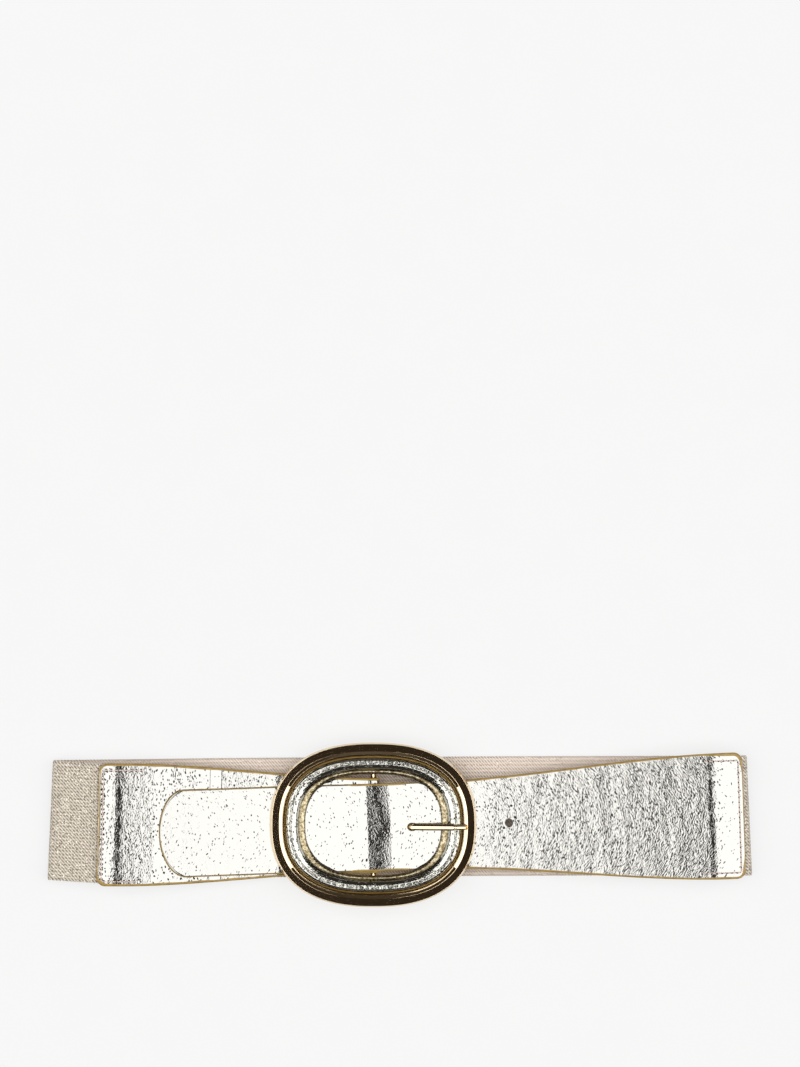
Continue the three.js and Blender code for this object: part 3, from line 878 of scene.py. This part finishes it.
thread = thread_finish()
pit_shade_material = pit_shade_finish()
for side, cut, seam, first, ahead in (
        ("left", panel_cut, left_seam, left_seam["in"], 1),
        ("right", strap_cut, right_seam, strap_length - right_seam["in"], -1)):
    top, bottom = (first, seam["top"]), (first, seam["bottom"])
    rows = [
        (bottom, top), (top, (first + ahead * seam["top_long"], seam["top"])),
        (bottom, (first + ahead * seam["bottom_long"], seam["bottom"])),
    ]
    stitches = beads(f"{side}_seam", cut, rows, thread_long, thread_wide, thread_high,
                     leather_thick / 2 - 0.26, (0,))
    # The dark ovals beside each stitch are painted shade, where the pulled-in leather lies in shadow.
    pit_shade_ovals = beads(f"{side}_seam_pit_shade", cut, rows, pit_long, pit_wide, 0.2, leather_thick / 2 - 0.2,
                 (-pit_off, pit_off) if side == "left" else (0.12,), 0.5 if side == "left" else 1)
    for piece, finish, slot in ((stitches, thread, "thread"), (pit_shade_ovals, pit_shade_material, "foil_leather")):
        piece.data.materials.append(finish)
        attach(piece, "root")


# Buckle frame
# A zinc alloy casting in pale gold plating: a faceted oval bezel, a thin flat plate inside it that
# carries the padded ring, and a round centre bar soldered across the plate.
frame_long = 102.7
frame_wide = 82.3
bezel_wide = 5.9
bezel_high = 6.6
plate_wide = 13.5


def oval(inset, z, steps, long=frame_long / 2, wide=frame_wide / 2):
    """Ovals of points at even angles, one for each inset and height. long and wide are half sizes.
    The buckle's oval grows fuller at its corners inwards."""
    a, b = long - np.reshape(inset, (1, -1)), wide - np.reshape(inset, (1, -1))
    power = 2.4 + 0.2 * np.minimum(1, (frame_long / 2 - a) / plate_wide)
    angle = around_circle(steps)[:, None]
    reach = (np.abs(np.cos(angle) / a) ** power + np.abs(np.sin(angle) / b) ** power) ** (-1 / power)
    x, y = reach * np.cos(angle), reach * np.sin(angle)
    return np.stack([bar_x + x, y, np.broadcast_to(z, x.shape)], axis=-1)


def buckle_frame():
    top = frame_z + bezel_high
    plate_top = frame_z + plate_thick
    profile = bent_line([
        (plate_wide, frame_z, 0), (1.4, frame_z, 0.5), (0.1, frame_z + 1.3, 0.8),
        (0.0, frame_z + bezel_high * 0.6, 0.7), (0.7, top, 0.12),
        (4.3, top, 0.12), (bezel_wide - 0.15, top - 0.9, 0.12),
        (bezel_wide, plate_top, 0.12), (plate_wide, plate_top, 0.3), (plate_wide, frame_z, 0),
    ], spacing=0.06)
    turning = np.hypot(np.diff(profile["nx"]), np.diff(profile["nz"])) > 0.003
    step = np.arange(len(profile["run"])) % 12 == 0
    keep = np.flatnonzero(step | np.append(turning, False) | np.insert(turning, 0, False))[:-1]
    rings = oval(profile["x"][keep], profile["z"][keep], 300) * MM
    bezel = skin("buckle_frame_gold", rings, closed=True)
    turn = around_circle(32)
    reach = frame_wide / 2 - plate_wide + 1.5
    ends = [(-reach, 0.97), (-reach + 0.1, 1), (reach - 0.1, 1), (reach, 0.97)]
    bar = skin("bar", np.stack([np.stack([
        bar_x + bar_radius * r * np.cos(turn), np.full(len(turn), y),
        bar_z + bar_radius * r * np.sin(turn),
    ], axis=-1) for y, r in ends]) * MM)
    return changed(bezel, bar, "UNION")


def gold_plate_finish():
    """Pale gold plating on polished zinc. A near mirror with faint wiping marks and warm depth."""
    material, tree = finish_of("polished gold plating")
    place = put(tree, "TexCoord").outputs["Object"]
    wiped = put(tree, "Mapping", {"Scale": (1, 3, 1)}, {"Vector": place})
    marks = put(tree, "TexNoise", {"Scale": 1 / (5 * MM), "Detail": 4, "Roughness": 0.65},
                {"Vector": wiped.outputs["Vector"]})
    rough = put(tree, "MapRange", {"To Min": 0.02, "To Max": 0.05}, {"Value": marks.outputs["Fac"]})
    tone = put(tree, "ValToRGB", {"stops": [(0.3, "#dcc49c"), (0.7, "#e8d5b3")]},
               {"Fac": marks.outputs["Fac"]})
    relief = put(tree, "Bump", {"Strength": 0.02, "Distance": 0.1 * MM}, {"Height": marks.outputs["Fac"]})
    shader = put(tree, "BsdfPrincipled", {"Metallic": 1.0}, {
        "Base Color": tone.outputs["Color"], "Roughness": rough.outputs["Result"],
        "Normal": relief.outputs["Normal"]})
    put(tree, "OutputMaterial", {}, {"Surface": shader.outputs["BSDF"]})
    return material


gold = gold_plate_finish()
frame_piece = buckle_frame()
frame_piece.data.materials.append(gold)
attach(frame_piece, "root")
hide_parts("buckle_frame")


# Padded ring
# The same foiled leather drawn over an oval foam core and glued down in the frame's channel. It creases
# across the ring where it is pulled round the bends.
pad_z = frame_z + plate_thick + gap
pad_from = bezel_wide + 1.5
pad_wide = 6.6
pad_high = 4.7
crease_deep = 0.035
lip_long = 34.2
lip_wide = 25.3
lip_thick = 1.2


def padded_ring():
    steps = 760
    dome = bent_line([
        (0.0, 0.0, 0), (0.0, 0.62, 0.2), (0.07, 0.84, 0.2), (0.24, 1.0, 0.08), (0.54, 1.0, 0.1),
        (0.82, 0.84, 0.4), (0.98, 0.52, 0.2), (1.0, 0.26, 0),
    ], spacing=0.03)
    inset = pad_from + pad_wide * dome["x"]
    high = pad_z + pad_high * dome["z"]
    rings = oval(inset, high, steps)
    middle = oval(pad_from + pad_wide / 2, pad_z + pad_high * 0.4, steps)
    outward = rings - middle
    outward /= np.linalg.norm(outward, axis=-1)[:, :, None]
    around = np.cumsum(np.linalg.norm(np.diff(middle[:, 0], axis=0, append=middle[:1, 0]), axis=1))
    girth = around[-1]
    angle = around / girth * 2 * np.pi
    over = np.concatenate([[0], np.cumsum(np.hypot(np.diff(inset), np.diff(high)))])
    loop = np.stack([np.cos(angle), np.sin(angle)], axis=-1) * girth / (2 * np.pi)
    fold = np.array([[
        noise.noise((u / 1.8, v / 1.8, s / 5.5)) + 0.3 * noise.noise((u / 0.9, v / 0.9, s / 1.4 + 9))
        for s in over] for u, v in loop])
    soft = np.sin(np.clip(over / over[-1], 0, 1) * np.pi) ** 0.5
    rings = rings + outward * (crease_deep * fold * soft[None, :])[:, :, None]
    underside = oval([pad_from + pad_wide, pad_from], pad_z, steps)
    closed_rings = np.concatenate([rings, underside], axis=1)
    along = np.concatenate([[0], around])
    down = np.concatenate([over, [over[-1] + 1.2, over[-1] + 2, over[-1] + 3]])
    spread = np.stack(np.meshgrid(along, down, indexing="ij"), axis=-1) * MM
    piece = skin("padded_ring", closed_rings * MM, spread[:, :, ::-1], closed=True)
    give_grain(piece, np.ones(len(piece.data.vertices)))
    return piece


ring = padded_ring()
# As on the straps, the near-black second colour is painted into the pore hollows as dark reflection.
ring.data.materials.append(foiled_leather(
    "foiled goatskin drawn over foam", "#b3b2aa", "#12110f", 0.09, 0.075 * MM))
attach(ring, "root")
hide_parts("ring_wrap")


# Ring edges
# Inside the ring the leather's cut edge is turned flat on the plate and painted gold. The grain still
# shows through the paint as bright and dark grit. Outside, a thin painted edge meets the plate.
def ring_lip():
    steps = 720
    inner = pad_from + pad_wide
    height = pad_z + lip_thick
    outer = oval(inner - 0.3, 0, steps)
    rim = oval(0, 0, steps, long=lip_long, wide=lip_wide)
    shares = np.array([0, 0.12, 0.3, 0.5, 0.7, 0.88, 0.97, 1.0, 1.0, 0.9, 0.0])[:, None]
    rings = outer * (1 - shares) + rim * shares
    rings[:, :, 2] = [
        height - 0.3, height - 0.02, height + 0.2, height + 0.14, height - 0.1, height - 0.45,
        height - 0.7, height - 0.85, pad_z + 0.1, pad_z, pad_z]
    for i, row in enumerate(rings):
        for k in range(1, 7):
            x, y, _ = row[k]
            rings[i, k, 2] += 0.05 * noise.noise((x / 0.9, y / 0.9, 3.3)) - 0.04
    return skin("ring_lip", rings * MM, closed=True)


def ring_outer_edge():
    inset = pad_from + np.array([-0.65, -0.6, -0.35, 0.0, 0.15, 0.15, -0.65])
    heights = pad_z + np.array([0.1, 0.5, 0.95, 1.15, 1.1, 0.0, 0.0])
    return skin("ring_outer_edge", oval(inset, heights, 300) * MM, closed=True)


def gilded_edge():
    """Gold paint over a turned leather edge. Its coarse grain glitters in bright and dark grit."""
    material, tree = finish_of("gold paint over grained edge")
    place = put(tree, "TexCoord").outputs["Object"]
    grit = put(tree, "TexNoise", {"Scale": 1 / (0.7 * MM), "Detail": 2}, {"Vector": place})
    coat = put(tree, "TexNoise", {"Scale": 1 / (1.4 * MM), "Detail": 2}, {"Vector": place})
    tone = put(tree, "ValToRGB", {"stops": [(0.38, "#6d5f42"), (0.62, "#b3a88d")]},
               {"Fac": coat.outputs["Fac"]})
    relief = put(tree, "Bump", {"Strength": 1.0, "Distance": 0.12 * MM}, {"Height": grit.outputs["Fac"]})
    shader = put(tree, "BsdfPrincipled", {"Roughness": 0.17, "Metallic": 0.95}, {
        "Base Color": tone.outputs["Color"], "Normal": relief.outputs["Normal"]})
    put(tree, "OutputMaterial", {}, {"Surface": shader.outputs["BSDF"]})
    return material


for piece, finish in ((ring_lip(), gilded_edge()), (ring_outer_edge(), edge_paint)):
    piece.data.materials.append(finish)
    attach(piece, "root")


# Prong
# A cast and plated tongue that hinges round the bar. It comes up through the strap's hole, and its
# narrowed tip lies on the ring.
prong_wide = 3.6
prong_thick = 1.8
prong_reach = 46.2
prong_tip = 7
prong_blunt = 0.7
prong_notch = 5.4


def prong():
    on_ring = pad_z + pad_high + gap + prong_thick / 2
    ring_x = bar_x + frame_long / 2 - pad_from - pad_wide
    tip_x = bar_x + prong_reach
    line = bent_line([
        (bar_x + bar_radius + gap, bar_z - 0.6, 0), (holes[0] - 3.2, bar_z - 0.6, 3),
        (holes[0] + 2.6, 10.0, 5), (ring_x + 3.6, on_ring + 0.05, 4), (tip_x, on_ring - 0.75, 0),
    ], spacing=0.1)
    cut = {"line": line, "across": lambda x, at: (prong_y, 0)}
    length = line["run"][-1]
    runs = np.unique(np.concatenate([
        np.linspace(0, length - prong_tip, 60),
        np.linspace(length - prong_tip, length - prong_blunt, 30),
        length - prong_blunt * (1 - np.sin(np.linspace(0, np.pi / 2, 8))),
    ]))
    from_tip = length - runs
    notched = bell(from_tip, prong_notch, 0.5)
    neck = 1 - 0.2 * smooth((prong_notch + 1.2 - from_tip) / 0.9) - 0.14 * notched
    blunt = np.sqrt(np.clip(1 - np.clip(1 - from_tip / prong_blunt, 0, 1) ** 2 * 0.75, 0.1, 1))
    half = prong_wide / 2 * neck * blunt
    high = prong_thick / 2 * (1 - 0.12 * notched) * (0.4 + 0.6 * blunt)
    section = [
        (-0.42, 1.0), (0.05, 1.0), (0.14, 0.97), (0.26, 0.88), (0.74, 0.3), (0.94, 0.0), (1.0, -0.3),
        (0.96, -0.7), (0.8, -0.95), (0.4, -1.0), (-0.4, -1.0), (-0.8, -0.95), (-0.96, -0.7),
        (-1.0, -0.3), (-0.95, 0.1), (-0.8, 0.55), (-0.62, 0.88), (-0.51, 0.97),
    ]
    side, up = np.array(section).T
    across = half[:, None] * side[None, :]
    rise = high[:, None] * up[None, :]
    shank = skin("prong_gold", lay(cut, np.broadcast_to(runs[:, None], across.shape), across, rise))
    turn = around_circle(48)
    inner, outer = bar_radius + gap, bar_radius + gap + 1.1
    side = [(outer, 0.8), (outer - 0.2, 1), (inner + 0.2, 1), (inner, 0.8)]
    loop = side + [(r, -s) for r, s in side[::-1]]
    eye = skin("prong_eye", np.stack([np.stack([
        bar_x + r * np.cos(turn), np.full(len(turn), prong_y + s * prong_wide / 2),
        bar_z + r * np.sin(turn),
    ], axis=-1) for r, s in loop], axis=1) * MM, closed=True)
    return changed(shank, eye, "UNION")


tongue = prong()
tongue.data.materials.append(gold)
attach(tongue, "root")
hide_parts("prong")

# The prong's eye sits in a slot of the panel, where the panel turns round the bar
punched(buckle_panel, [(bar_x + 0.9, prong_y, prong_wide + 2 * gap, 2 * wrap_radius + 4)])


# Studio
# A pale sweep under the belt, and two large softboxes far to its left and right. The dark room shows
# between them, straight overhead.
floor_reach = 3000 * MM
floor_drop = 0.2 * MM


def floor_sheet():
    turn = around_circle(64)
    ring = np.stack([
        floor_reach * np.cos(turn), floor_reach * np.sin(turn), np.full(len(turn), -floor_drop),
    ], axis=-1)
    mesh = bpy.data.meshes.new("floor")
    mesh.from_pydata(ring.tolist(), [], [list(range(len(turn)))])
    material, tree = finish_of("pale paper sweep")
    place = put(tree, "TexCoord").outputs["Object"]
    fibre = put(tree, "TexNoise", {"Scale": 40.0, "Detail": 3}, {"Vector": place})
    tone = put(tree, "ValToRGB", {"stops": [(0.3, 0.148), (0.7, 0.152)]}, {"Fac": fibre.outputs["Fac"]})
    shader = put(tree, "BsdfPrincipled", {
        "Roughness": 1.0, "Specular IOR Level": 0.0,
        "Emission Color": (1, 1, 1, 1), "Emission Strength": 0.725,
    }, {"Base Color": tone.outputs["Color"]})
    put(tree, "OutputMaterial", {}, {"Surface": shader.outputs["BSDF"]})
    mesh.materials.append(material)
    return linked("floor", mesh)


floor_sheet()

# The softboxes, in metres and angles: how far off, how far each leans from overhead, and half of how
# much of the room each fills. The left one stands a little nearer to overhead, yet not so near that
# the flat bezel mirrors it.
light_far = 10
light_tilts = {-1: math.radians(34.1), 1: math.radians(37)}
light_reach = math.radians(32)
light_across = math.radians(31)
light_glow = 2.6
for side, light_tilt in light_tilts.items():
    lamp = bpy.data.lights.new(f"softbox_{side}", "AREA")
    lamp.shape = "RECTANGLE"
    lamp.size = 2 * light_far * math.tan(light_reach)
    lamp.size_y = 2 * light_far * math.tan(light_across)
    lamp.energy = light_glow * math.pi * lamp.size * lamp.size_y
    softbox = linked(lamp.name, lamp)
    softbox.location = (side * light_far * math.sin(light_tilt), 0, light_far * math.cos(light_tilt))
    softbox.rotation_euler = (0, side * light_tilt, 0)
    softbox.visible_camera = False

room = bpy.data.worlds.new("dark room")
bpy.context.scene.world = room
room.use_nodes = True
air = room.node_tree
air.nodes.clear()
seen = put(air, "LightPath").outputs["Is Camera Ray"]
toward = put(air, "SeparateXYZ", {}, {0: put(air, "TexCoord").outputs["Generated"]})
aside = put(air, "Math", {"operation": "ABSOLUTE"}, {0: toward.outputs["Y"]})
wall_tones = [(0.5, "#342d27"), (0.87, "#443e38"), (1.0, "#8a8882")]
walls = put(air, "ValToRGB", {"stops": wall_tones}, {"Fac": aside.outputs["Value"]})
shade = put(air, "MixRGB", {"Color2": (0.9, 0.9, 0.9, 1)},
            {"Fac": seen, "Color1": walls.outputs["Color"]})
glow = put(air, "Background", {"Strength": 1.0}, {"Color": shade.outputs["Color"]})
put(air, "OutputWorld", {}, {"Surface": glow.outputs["Background"]})

# The camera stands straight over the picture's middle, and the belt lies below that middle. Its long
# lens frames the picture's height at the level of the buckle.
camera_high = 4.0
buckle_level = 8 * MM
picture_rows = 1067
pixel = 0.5 * MM
lens = bpy.data.cameras.new("camera")
lens.sensor_width = 36
lens.lens = lens.sensor_width * (camera_high - buckle_level) / (picture_rows * pixel)
camera = linked("camera", lens)
camera.location = (0.1 * MM, 145.6 * MM, camera_high)
bpy.context.scene.camera = camera
bpy.context.scene.view_settings.view_transform = "Standard"
